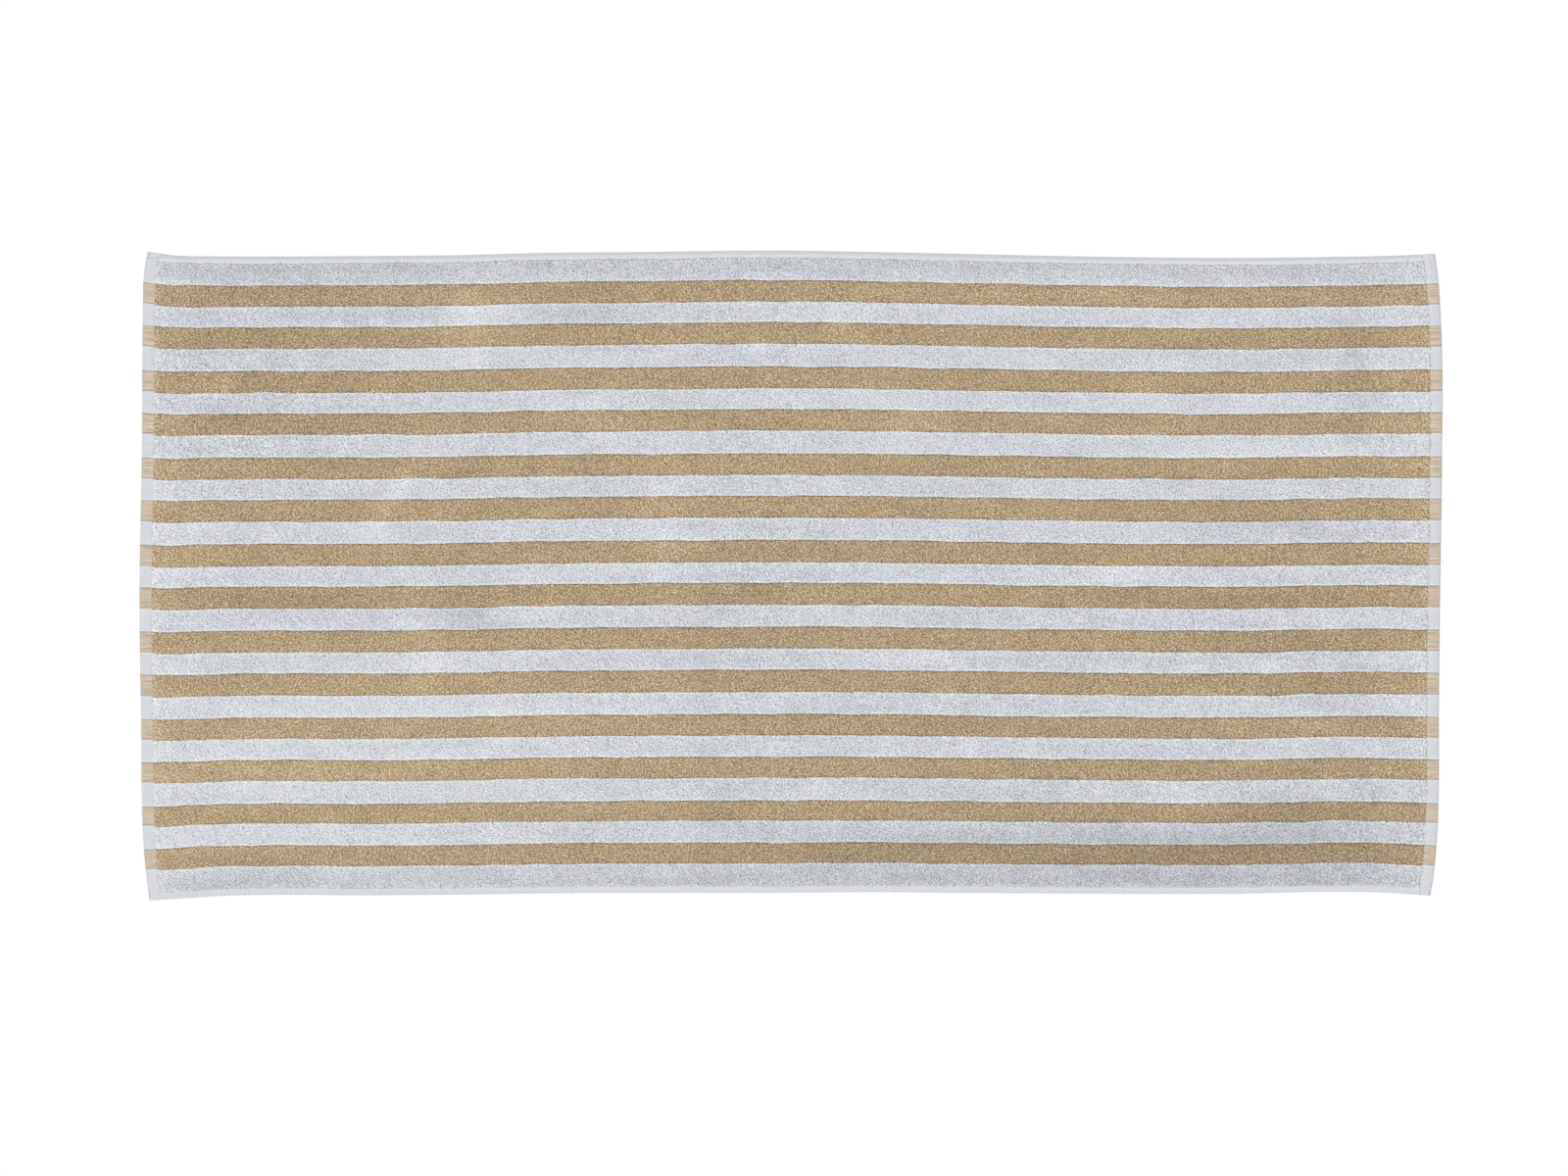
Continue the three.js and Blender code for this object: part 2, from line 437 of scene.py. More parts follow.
class Nodes:
    """A new material with short ways to add and join its nodes."""

    def __init__(self, name, roughness):
        self.material = bpy.data.materials.new(name)
        self.material.use_nodes = True
        self.tree = self.material.node_tree
        self.shader = self.tree.nodes["Principled BSDF"]
        self.shader.inputs["Roughness"].default_value = roughness
        self.shader.inputs["Specular IOR Level"].default_value = CLOTH_SHINE

    def add(self, kind, **settings):
        """A new node with these settings."""
        node = self.tree.nodes.new(kind)
        for key, value in settings.items():
            setattr(node, key, value)
        return node

    def join(self, source, target):
        """Lead an output into an input."""
        self.tree.links.new(source, target)

    def math(self, operation, first, second):
        """The result of an operation on two numbers or outputs."""
        node = self.add("ShaderNodeMath", operation=operation)
        for socket, value in zip(node.inputs, (first, second)):
            if isinstance(value, (int, float)):
                socket.default_value = value
            else:
                self.join(value, socket)
        return node.outputs[0]

    def fitted(self, value, low, high, to_low, to_high):
        """value, moved from one range to another and kept inside it."""
        node = self.add("ShaderNodeMapRange")
        self.join(value, node.inputs["Value"])
        for socket, number in zip(node.inputs[1:5], (low, high, to_low, to_high)):
            socket.default_value = number
        return node.outputs["Result"]

    def noise(self, size, stretch=(1, 1, 1), detail=2.0):
        """Noise with grains about as large as size in metres, drawn out along the axes by stretch."""
        place = self.add("ShaderNodeTexCoord").outputs["Object"]
        scale = self.add("ShaderNodeMapping")
        scale.inputs["Scale"].default_value = [1 / (size * s) for s in stretch]
        self.join(place, scale.inputs["Vector"])
        texture = self.add("ShaderNodeTexNoise")
        texture.inputs["Scale"].default_value = 1
        texture.inputs["Detail"].default_value = detail
        self.join(scale.outputs["Vector"], texture.inputs["Vector"])
        return texture.outputs["Fac"]

    def cells(self, size):
        """Round grains about size in metres wide: 0 in a grain's middle and about 1 between grains."""
        place = self.add("ShaderNodeTexCoord").outputs["Object"]
        texture = self.add("ShaderNodeTexVoronoi")
        texture.inputs["Scale"].default_value = 1 / size
        self.join(place, texture.inputs["Vector"])
        return texture.outputs["Distance"]

    def ramp(self, value, stops):
        """A colour read from value through the stops, each a place and a colour."""
        node = self.add("ShaderNodeValToRGB")
        points = node.color_ramp.elements
        while len(points) < len(stops):
            points.new(0.5)
        for point, (place, colour) in zip(points, stops):
            point.position = place
            point.color = (*colour, 1)
        self.join(value, node.inputs["Fac"])
        return node.outputs["Color"]

    def mix(self, share, first, second):
        """Two colours mixed by share, which is an output."""
        node = self.add("ShaderNodeMix", data_type="RGBA")
        share_in, first_in, second_in = node.inputs[0], node.inputs[6], node.inputs[7]
        colour_out = node.outputs[2]
        self.join(share, share_in)
        first_in.default_value = (*first, 1)
        second_in.default_value = (*second, 1)
        return colour_out

    def uv_parts(self, name):
        """The X and Y outputs of the UV map of this name."""
        uv = self.add("ShaderNodeUVMap", uv_map=name).outputs["UV"]
        node = self.add("ShaderNodeSeparateXYZ")
        self.join(uv, node.inputs[0])
        return node.outputs

    def lines(self, over, run, size, length):
        """Uneven lines, about size wide over one coordinate and about length long along the other."""
        place = self.add("ShaderNodeCombineXYZ")
        self.join(self.math("DIVIDE", over, size), place.inputs[0])
        self.join(self.math("DIVIDE", run, length), place.inputs[1])
        texture = self.add("ShaderNodeTexNoise")
        texture.inputs["Scale"].default_value = 1
        texture.inputs["Detail"].default_value = 1
        self.join(place.outputs[0], texture.inputs["Vector"])
        return texture.outputs["Fac"]

    def profile(self, value, reach, stops):
        """A light that changes with value through stops, pairs of a place in mm and a share up to 1.2."""
        brightest = 1.2
        points = [(place * MM / reach, (share / brightest,) * 3) for place, share in stops]
        return self.math("MULTIPLY", self.ramp(self.math("DIVIDE", value, reach), points), brightest)

    def tinted(self, colour, tint):
        """A colour times another, channel by channel."""
        node = self.add("ShaderNodeVectorMath", operation="MULTIPLY")
        self.join(colour, node.inputs[0])
        self.join(tint, node.inputs[1])
        return node.outputs[0]

    def shaded(self, colour, *shares):
        """A colour darkened or lightened by each of the shares."""
        light = shares[0]
        for share in shares[1:]:
            light = self.math("MULTIPLY", light, share)
        node = self.add("ShaderNodeVectorMath", operation="SCALE")
        self.join(colour, node.inputs[0])
        self.join(light, node.inputs["Scale"])
        return node.outputs[0]

    def finish(self, colour, relief, depth):
        """The material with this colour, kept from being lighter than white, and this relief and depth."""
        kept = self.add("ShaderNodeVectorMath", operation="MINIMUM")
        kept.inputs[1].default_value = (WHITEST, WHITEST, WHITEST)
        self.join(colour, kept.inputs[0])
        self.join(kept.outputs[0], self.shader.inputs["Base Color"])
        bump = self.add("ShaderNodeBump")
        bump.inputs["Distance"].default_value = depth
        self.join(relief, bump.inputs["Height"])
        self.join(bump.outputs["Normal"], self.shader.inputs["Normal"])
        return self.material


# Most of a noise's values lie between these two.
NOISE = (0.3, 0.7)

# A faint unevenness changes the light between these two.
FAINT = (0.95, 1.05)

# The unevenness of the pile: the size of its grains, and between which lights and hues they lie. The
# lighter and darker grains are partly the yarn's own and partly painted highlights and shade of the loops.
YARN = 1.3 * MM
YARN_LIGHT = (0.66, 1.34)
YARN_HUE = 2.1 * MM
YARN_HUES = ((0.3, (1.025, 0.997, 0.963)), (0.5, (1.0, 1.0, 1.0)), (0.7, (0.975, 1.0, 1.037)))
PATCH = 30 * MM
STREAK = 12 * MM
STREAK_STRETCH = (9, 1, 1)
HUE_PATCH = 12 * MM
HUES = ((0.3, (1.02, 0.988, 1.0)), (0.5, (1.0, 1.0, 1.0)), (0.7, (0.985, 1.01, 0.995)))
PILE_RELIEF = 0.2 * MM

# The loops of the ground cloth, from their middles to the gaps between them, which are darker as painted
# shade.
GROUND_LOOP = 1.5 * MM
LOOP_MIDDLE = 0.2
LOOP_GAP = 0.55
GROUND_RELIEF = 0.9 * MM


def pile_shade(nodes, colour):
    """A colour with the painted light and shade of the light attribute, lighter and darker yarns that are
    partly painted highlights and shade, patches, faint streaks and slight hues.
    """
    yarn = nodes.fitted(nodes.noise(YARN, detail=1), *NOISE, *YARN_LIGHT)
    light = nodes.add("ShaderNodeAttribute", attribute_name="light").outputs["Fac"]
    patches = nodes.fitted(nodes.noise(PATCH, detail=3), *NOISE, *FAINT)
    streaks = nodes.fitted(nodes.noise(STREAK, stretch=STREAK_STRETCH), *NOISE, *FAINT)
    hue = nodes.ramp(nodes.noise(HUE_PATCH, detail=1), HUES)
    yarn_hue = nodes.ramp(nodes.noise(YARN_HUE, detail=1), YARN_HUES)
    return nodes.shaded(nodes.tinted(nodes.tinted(colour, hue), yarn_hue), light, patches, streaks, yarn)


def pile_material(name, stops):
    """Cotton loops: each loop has its own tone, and painted shade makes it darker towards its foot."""
    nodes = Nodes(name, PILE_ROUGHNESS)
    tone = nodes.add("ShaderNodeAttribute", attribute_name="tone").outputs["Fac"]
    colour = nodes.ramp(tone, stops)
    nodes.shader.inputs["Sheen Weight"].default_value = SHEEN
    nodes.shader.inputs["Sheen Roughness"].default_value = SHEEN_ROUGHNESS
    return nodes.finish(pile_shade(nodes, colour), nodes.noise(YARN, detail=1), PILE_RELIEF)


def ground_material(name, colour, dark):
    """The ground cloth: the feet of the loops on its upper face, and the loops of its lower face, with
    painted shade in the gaps between loops.
    """
    nodes = Nodes(name, PILE_ROUGHNESS)
    loops = nodes.cells(GROUND_LOOP)
    body = nodes.ramp(loops, ((LOOP_MIDDLE, colour), (LOOP_GAP, dark)))
    return nodes.finish(pile_shade(nodes, body), nodes.math("SUBTRACT", 1.0, loops), GROUND_RELIEF)


# The flat weave of the hems: its warp lines and its ribs, how wide and long they are, and its fibre.
WARP_LINE = 0.85 * MM
WARP_RUN = 26 * MM
WARP_NOISE = (0.42, 0.60)
RIB = 1.1 * MM
RIB_RUN = 90 * MM
RIB_LIGHT = (0.97, 1.03)
HEM_FIBRE = 1.4 * MM
HEM_RELIEF = 0.06 * MM

# The sewing thread's twist, its depth, and how light the thread is in its gaps, where it has painted shade.
THREAD_TWIST = 0.8 * MM
THREAD_RELIEF = 0.1 * MM
THREAD_SHADE = 0.85

# A stripe's tint from its edge in, 0 at the edge and 1 at MEETING_REACH: a dark line ends the tan ones.
MEETING_REACH = 4 * MM
TAN_MEETING = ((0.0, (0.56, 0.62, 0.72)), (0.12, (0.60, 0.66, 0.76)), (0.38, (1.0, 1.0, 1.0)))
WHITE_MEETING = ((0.0, (0.98, 0.97, 0.95)), (0.28, (1.07, 1.06, 1.04)), (0.8, (1.0, 1.0, 1.0)))


def hem_material(name, colour, line, line_share, profile, width, meeting):
    """Flat-woven hem: fine warp lines of another colour that run in from the towel's edge, faint ribs along
    it, painted shade and light that follow profile from the edge in, and a crisp line where two stripes
    meet."""
    nodes = Nodes(name, HEM_ROUGHNESS)
    weave = nodes.uv_parts("Weave")
    station, from_edge = weave["X"], weave["Y"]
    lines = nodes.lines(station, from_edge, WARP_LINE, WARP_RUN)
    body = nodes.mix(nodes.fitted(lines, *WARP_NOISE, 0, line_share), colour, line)
    ribs = nodes.lines(from_edge, station, RIB, RIB_RUN)
    ribs_shade = nodes.fitted(ribs, *NOISE, *RIB_LIGHT)
    across = nodes.profile(from_edge, width, profile)
    beside = nodes.math("DIVIDE", nodes.uv_parts("Meeting")["X"], MEETING_REACH)
    met = nodes.tinted(body, nodes.ramp(beside, meeting))
    fibre = nodes.fitted(nodes.noise(HEM_FIBRE), *NOISE, *FAINT)
    return nodes.finish(nodes.shaded(met, ribs_shade, across, fibre), ribs, HEM_RELIEF)


def thread_material(name, colour):
    """Sewing thread, with painted shade in the gaps of its twist."""
    nodes = Nodes(name, THREAD_ROUGHNESS)
    twist = nodes.noise(THREAD_TWIST)
    body = nodes.ramp(twist, ((NOISE[0], [c * THREAD_SHADE for c in colour]), (NOISE[1], colour)))
    return nodes.finish(body, twist, THREAD_RELIEF)


# The colours of a loop by its tone.
WHITE_LOOPS = (
    (0.0, (0.67, 0.697, 0.76)),
    (0.5, (0.84, 0.868, 0.945)),
    (1.0, (0.955, 0.972, 1.0)),
)
TAN_LOOPS = (
    (0.0, (0.345, 0.23, 0.113)),
    (0.5, (0.825, 0.63, 0.41)),
    (1.0, (0.96, 0.86, 0.68)),
)
PILE = {
    "white": pile_material("white loops", WHITE_LOOPS),
    "tan": pile_material("tan loops", TAN_LOOPS),
}
# The ground is darker than the loops in the tan stripes, and darker still in its gaps: painted shade low in
# the pile.
GROUND = {
    "white": ground_material("white ground", (0.83, 0.852, 0.927), (0.675, 0.70, 0.768)),
    "tan": ground_material("tan ground", (0.69, 0.515, 0.31), (0.345, 0.235, 0.118)),
}

# Painted shade and light across a hem, from the towel's edge in: darker at the fold, lightest beside the
# seam. Each pair is a place in mm and a share of the hem's light.
END_HEM_LIGHT = (
    (0.0, 0.86), (1.0, 0.93), (1.8, 0.985), (5.0, 0.99),
    (8.5, 1.01), (10.8, 1.035), (13.5, 0.995),
)
SIDE_HEM_LIGHT = (
    (0.0, 0.94), (0.8, 0.98), (2.1, 0.955), (3.0, 1.03),
    (4.0, 1.10), (5.2, 1.06), (6.4, 1.05), (8.0, 1.03),
)

# A hem's colour, the colour of its warp lines, and how strong these are at most.
WHITE_HEM = (0.69, 0.707, 0.745), (0.62, 0.637, 0.672), 0.7
TAN_HEM = (0.70, 0.597, 0.47), (0.44, 0.345, 0.245), 0.8
HEM = {
    "white end": hem_material("white end hem", *WHITE_HEM, END_HEM_LIGHT, END_HEM, WHITE_MEETING),
    "tan end": hem_material("tan end hem", *TAN_HEM, END_HEM_LIGHT, END_HEM, TAN_MEETING),
    "side": hem_material("white side hem", *WHITE_HEM, SIDE_HEM_LIGHT, SIDE_HEM, WHITE_MEETING),
}
THREAD = thread_material("hem thread", (0.80, 0.79, 0.78))
# The tack thread's dark grey is partly the thread's own colour and partly painted shade at the hems' open
# ends.
TACK_THREAD_AND_SHADE = thread_material("tack thread", (0.40, 0.41, 0.45))


# ---------------- the ground cloth

# Heights of the upper face: flat within the hems, where the pile begins, and under the full pile.
GROUND_FLAT = 1.5 * MM
GROUND_FIRST = 3.0 * MM
GROUND_TOP = 3.5 * MM

# The lower face is this high over the surface below, and up to so much higher between its soft lumps.
GROUND_BOTTOM = 0.3 * MM
LUMP = 0.8 * MM

# The grid's edge inside the towel's edge, its cells across a stripe and along it, and its closest lines.
GROUND_EDGE = 1.2 * MM
CELLS_PER_BAND = 2
ALONG_STEP = 14 * MM
LINE_GAP = 1 * MM

# Beside a tan stripe's edges the pile parts. The ground has painted shade in a groove inside the stripe, by
# this much at its far and its near edge, and painted light on a ridge outside it.
GROOVE = 0.6 * MM
GROOVE_END = 1.5 * MM
GROOVE_SHADE = {"far": 0.55, "near": 0.45}
RIDGE = 0.5 * MM
RIDGE_END = 2.6 * MM
RIDGE_GLOW = 0.2


def fading_share(distance, full, end):
    """0 up to an edge, 1 at full past it, and 0 again at end and further on."""
    return np.interp(distance, [0, full, end], [0, 1, 0])


def meeting_ground_light(across):
    """The ground's painted shade in the grooves and painted light on the ridges where stripes meet."""
    light = np.ones_like(across)
    for colour, low, high in BANDS:
        if colour == "tan":
            for side, inward in (("far", high - across), ("near", across - low)):
                light -= GROOVE_SHADE[side] * fading_share(inward, GROOVE, GROOVE_END)
                light += RIDGE_GLOW * fading_share(-inward, RIDGE, RIDGE_END)
    return light


def ground_lines():
    """Grid lines of the ground cloth, along and across. Across, every stripe's edge is a line."""
    inner = HALF_LENGTH - END_PILE - PILE_SHOULDER
    count = round(2 * inner / ALONG_STEP)
    ends = [HALF_LENGTH - d for d in (GROUND_EDGE, END_PILE - PILE_EDGE, END_PILE, END_PILE + PILE_EDGE)]
    along = [-e for e in ends] + list(np.linspace(-inner, inner, count + 1)) + ends[::-1]
    across = []
    for colour, low, high in BANDS:
        across += list(np.linspace(low, high, CELLS_PER_BAND, endpoint=False))
        if colour == "tan":
            across += [low + GROOVE, low + GROOVE_END, high - GROOVE_END, high - GROOVE]
            across += [low - RIDGE, low - RIDGE_END, high + RIDGE_END, high + RIDGE]
    depths = (GROUND_EDGE, SIDE_PILE - PILE_EDGE, SIDE_PILE, SIDE_PILE + PILE_EDGE)
    side = [HALF_WIDTH - d for d in (*depths, SIDE_PILE + PILE_SHOULDER)]
    kept = [line for line in sorted(across) if abs(line) < side[-1] - LINE_GAP]
    return np.array(along), np.array([-s for s in side] + kept + side[::-1])


def ground_points(along, across):
    """The points of the ground cloth's upper and lower face, which has soft lumps for its loops."""
    begun = pile_share(along, across, -PILE_EDGE, PILE_EDGE)
    full = pile_share(along, across, 0, PILE_SHOULDER)
    top = GROUND_FLAT + begun * (GROUND_FIRST - GROUND_FLAT)
    top += full * (GROUND_TOP - GROUND_FIRST + swell(along, across))
    rng = np.random.default_rng(seed=5)
    bottom = GROUND_BOTTOM + LUMP * full * rng.uniform(0, 1, along.shape)
    woven = across + full * drift(along, across)
    upper = laid(along, woven, top).reshape(-1, 3)
    lower = laid(along, woven, bottom).reshape(-1, 3)
    return np.concatenate([upper, lower])


def rim_walls(rows, columns):
    """The faces that join a grid's rim to the rim of the same grid a layer further on."""
    count = rows * columns
    i = np.arange(count).reshape(rows, columns)
    rim = np.concatenate([i[:-1, 0], i[-1, :-1], i[:0:-1, -1], i[0, :0:-1]])
    after = np.roll(rim, -1)
    return np.stack([rim, after, after + count, rim + count], -1)[:, ::-1]


def slots_of(across):
    """0 where a place across the cloth is in a white stripe, and 1 where it is in a tan one."""
    found = np.zeros(len(across))
    for colour, low, high in BANDS:
        if colour == "tan":
            found[(across >= low) & (across < high)] = 1
    return found


def add_ground():
    """One closed sheet under the loops."""
    along_lines, across_lines = ground_lines()
    along, across = np.meshgrid(along_lines, across_lines, indexing="ij")
    rows, columns = along.shape
    points = ground_points(along, across)
    faces = grid_faces(rows, columns)
    walls = rim_walls(rows, columns)
    all_faces = np.concatenate([faces, faces[:, ::-1] + rows * columns, walls])
    slots = np.tile(slots_of((across_lines[:-1] + across_lines[1:]) / 2), rows - 1)
    face_slots = np.concatenate([slots, slots, np.zeros(len(walls))])
    plan = np.stack([along.ravel() / LENGTH + 0.5, across.ravel() / WIDTH + 0.5], -1)
    halves = np.concatenate([plan * (1, 0.5), plan * (1, 0.5) + (0, 0.5)])
    materials = [GROUND["white"], GROUND["tan"]]
    ground = add_piece("ground_cloth", points, all_faces, materials, face_slots, {"OFBake": halves})
    # The ground's painted light and shade, read by its material from the light attribute.
    light = brushed(along, across) * edge_light(along, across)
    set_attribute(ground, "light", np.stack([light * meeting_ground_light(across), light]))
    return ground


# ---------------- the loops of the pile

# The loops lie in offset rows, one step apart and off their places by a share of it. They spill out of
# their stripe by up to this much.
LOOP_STEP = 2.1 * MM
LOOP_JITTER = 0.45
STRIPE_SPILL = {"white": 1.6 * MM, "tan": 0.4 * MM}

# A loop's sizes, in mm: the least and most of its length and width, how far its crest stands over its
# foot, how much lower one end is at most, and how far it leans on its own and with its neighbours.
LOOP_LENGTH = (3.0, 4.8)
LOOP_WIDTH = (2.0, 3.0)
LOOP_RISE = 1.2
LOOP_TILT = 0.35
LOOP_LEAN = 0.35
SHARED_LEAN = 0.4

# How far the corners at its sides are off its middle, in half lengths.
LOOP_SKEW = 0.3

# How high the crests are beside a hem, and how far off they are, in mm: mean and spread, and the limits.
FIRST_CREST = 3.5 * MM
CREST_OFF = (-0.1, 0.18)
CREST_LIMITS = (-0.8, 0.4)

# A loop's tone at its crest and its foot, each a mean and a spread: 0 is the darkest colour and 1 the
# lightest. The spread is the loops' own tone; the feet are darker than the crests as painted shade low in
# the pile.
CREST_TONE = {"white": (0.82, 0.15), "tan": (0.66, 0.15)}
FOOT_TONE_AND_SHADE = {"white": (0.75, 0.15), "tan": (0.2, 0.15)}

# Painted light and shade where stripes meet: how much lighter the white loops along a stripe's edges are,
# and how much darker the tan ones. The shade of these comes and goes, and is stronger towards the right.
EDGE_ROW = 1.5 * MM
WHITE_EDGE_GLOW = 0.16
TAN_EDGE_SHADE = 0.26
SHADE_UNEVENNESS = 0.8
SHADE_TO_RIGHT = 0.3
SHADE_MOST = 2.2

# The bake map cuts a stripe into rows, with a margin round each for what reaches out of it.
MAP_ROWS = 7
MAP_MARGIN = 3 * MM

# A loop is a short strand: two ends high in the pile, 0 and 1, and two sides low in it, 2 and 3.
LOOP_CORNERS = 4
LOOP_FACES = np.array([(0, 1, 2), (1, 0, 3), (0, 2, 3), (1, 3, 2)])

lean_along = soft_field(seed=21, reach=60 * MM)
lean_across = soft_field(seed=22, reach=45 * MM)
edge_field = soft_field(seed=23, reach=22 * MM)


def loop_places(rng, low, high, reach):
    """The middles of a stripe's loops, in offset rows, each loop a little off its place."""
    rows = round((high - low) / LOOP_STEP)
    columns = round(2 * reach / LOOP_STEP)
    row, column = np.meshgrid(np.arange(rows), np.arange(columns), indexing="ij")
    row, column = row.ravel(), column.ravel()
    off_along, off_across = rng.uniform(-LOOP_JITTER, LOOP_JITTER, (2, row.size))
    along = -reach + (column + 0.25 + row % 2 * 0.5 + off_along) * 2 * reach / columns
    across = low + (row + 0.5 + off_across) * (high - low) / rows
    return np.stack([along, across])


def kept_inside(plan, low, high, spill):
    """The loops' points, each loop moved across just enough to spill no further out of its stripe."""
    below = np.minimum(plan[:, 1].min(0) - (low - spill), 0)
    above = np.maximum(plan[:, 1].max(0) - (high + spill), 0)
    plan[:, 1] -= below + above
    return plan


def crest_height(along, across):
    """How high the loops stand: low where they begin beside a hem, and soon as high as the rest."""
    full = pile_share(along, across, 0, PILE_SHOULDER)
    return FIRST_CREST + full * (PILE_TOP - FIRST_CREST + swell(along, across))


def meeting_light(colour, along, across, low, high):
    """The painted light and shade of the loops where two stripes meet."""
    at_edge = np.exp(-((across - low) / EDGE_ROW) ** 2) + np.exp(-((high - across) / EDGE_ROW) ** 2)
    if colour == "white":
        return 1 + WHITE_EDGE_GLOW * at_edge
    uneven = 1 + SHADE_UNEVENNESS * edge_field(along, across) + SHADE_TO_RIGHT * along / HALF_LENGTH
    return 1 - np.clip(uneven, 0, SHADE_MOST) * TAN_EDGE_SHADE * at_edge


def loop_corners(rng, middle):
    """The loops' corners in plan. They lie in all directions, and neighbours lean a little alike, as in
    brushed patches."""
    count = middle.shape[1]
    turn = rng.uniform(0, math.pi, count)
    ahead = np.stack([np.cos(turn), np.sin(turn)]) * rng.uniform(*LOOP_LENGTH, count) * MM / 2
    aside = np.stack([-np.sin(turn), np.cos(turn)]) * rng.uniform(*LOOP_WIDTH, count) * MM / 2
    shared = np.stack([lean_along(*middle), lean_across(*middle)])
    lean = rng.normal(0, LOOP_LEAN, (2, count)) + SHARED_LEAN * shared
    skew = rng.uniform(-LOOP_SKEW, LOOP_SKEW, (2, count))
    return np.stack([
        middle + lean * MM - ahead,
        middle + lean * MM + ahead,
        middle + skew[0] * ahead + aside,
        middle + skew[1] * ahead - aside,
    ])


def loop_heights(rng, middle):
    """The heights of the loops' corners."""
    count = middle.shape[1]
    off = np.clip(rng.normal(*CREST_OFF, count), *CREST_LIMITS)
    crest = crest_height(*middle) + off * MM
    tilt = rng.uniform(0, LOOP_TILT, count) * MM
    foot = crest - LOOP_RISE * MM
    return np.stack([crest, crest - tilt, foot, foot])


def add_pile(name, colour, low, high, seed):
    """The loops of one stripe, each a small closed strand."""
    rng = np.random.default_rng(seed)
    low = max(low, -HALF_WIDTH + SIDE_PILE)
    high = min(high, HALF_WIDTH - SIDE_PILE)
    reach = HALF_LENGTH - END_PILE
    middle = loop_places(rng, low, high, reach)
    count = middle.shape[1]
    plan = loop_corners(rng, middle)
    plan = kept_inside(plan, low, high, rng.uniform(0, STRIPE_SPILL[colour], count))
    plan[:, 1] += drift(plan[:, 0], plan[:, 1])
    heights = loop_heights(rng, middle)
    points = laid(plan[:, 0], plan[:, 1], heights).transpose(1, 0, 2).reshape(-1, 3)
    faces = (LOOP_FACES + LOOP_CORNERS * np.arange(count)[:, None, None]).reshape(-1, 3)
    maps = {"OFBake": folded_map(plan, middle[0], reach, low, high)}
    pile = add_piece(name, points, faces, [PILE[colour]], maps=maps)
    crest_tone = rng.normal(*CREST_TONE[colour], count)
    foot_tone = rng.normal(*FOOT_TONE_AND_SHADE[colour], count)
    tones = np.stack([crest_tone, crest_tone, foot_tone, foot_tone], -1)
    set_attribute(pile, "tone", np.clip(tones, 0, 1))
    # The loops' painted light and shade, read by their material from the light attribute.
    light = brushed(*middle) * edge_light(*middle) * meeting_light(colour, *middle, low, high)
    set_attribute(pile, "light", np.repeat(light, LOOP_CORNERS))
    return pile


def folded_map(plan, along, reach, low, high):
    """A square map of a long stripe, cut into rows that lie one over another."""
    run = 2 * reach / MAP_ROWS
    row = np.clip((along + reach) // run, 0, MAP_ROWS - 1)
    u = (plan[:, 0] + reach - row * run + MAP_MARGIN) / (run + 2 * MAP_MARGIN)
    v = (row + (plan[:, 1] - low + MAP_MARGIN) / (high - low + 2 * MAP_MARGIN)) / MAP_ROWS
    return np.stack([u, v], -1).transpose(1, 0, 2).reshape(-1, 2)


def add_all_pile():
    """The pile of every stripe. Each colour's stripes are counted from the near side."""
    counts = {"white": 0, "tan": 0}
    made = []
    for seed, (colour, low, high) in enumerate(BANDS, start=100):
        counts[colour] += 1
        made.append(add_pile(f"{colour}_stripe_{counts[colour]:02d}", colour, low, high, seed))
    return made


# ---------------- hems

# The round fold at the towel's edge, the step from section to section, how far the side hems lap over the
# end hems, what counts as far from where stripes meet, and the angle from which an edge is sharp.
FOLD = 1.0 * MM
FOLD_POINTS = 8
HEM_STEP = 7 * MM
CORNER_LAP = 0.6 * MM
AWAY_FROM_MEETINGS = 5 * MM
SHARP = math.radians(60)

# How much narrower than in the pile a tan stripe is on the end hems, in mm, at its near and its far edge.
HEM_STRIPES = {
    "hem_left": {"near": 1.3, "far": 0.2},
    "hem_right": {"near": 0.8, "far": 0.1},
}


def hem_profile(width, seam):
    """A hem's section, from its upper inner edge out round the fold and back: pairs of how far in from
    the towel's edge and how high. The upper face sinks a little under the stitches of the seam."""
    arc = np.linspace(math.pi / 2, -math.pi / 2, FOLD_POINTS)
    fold = [(FOLD - FOLD * math.cos(a), HEM_TOP / 2 + HEM_TOP / 2 * math.sin(a)) for a in arc]
    upper = [
        (width, 1.0 * MM),
        (width - 0.2 * MM, 1.5 * MM),
        (width - 0.8 * MM, 1.8 * MM),
        (seam + 1.3 * MM, 1.9 * MM),
        (seam + 0.6 * MM, 2.0 * MM),
        (seam, 1.87 * MM),
        (seam - 0.6 * MM, 2.0 * MM),
        (seam - 1.4 * MM, 2.1 * MM),
        ((seam + FOLD) / 2, 2.0 * MM),
    ]
    lower = [(d, max(HEM_TOP - z, 0)) for d, z in reversed(upper)]
    return np.array(upper + fold + lower)


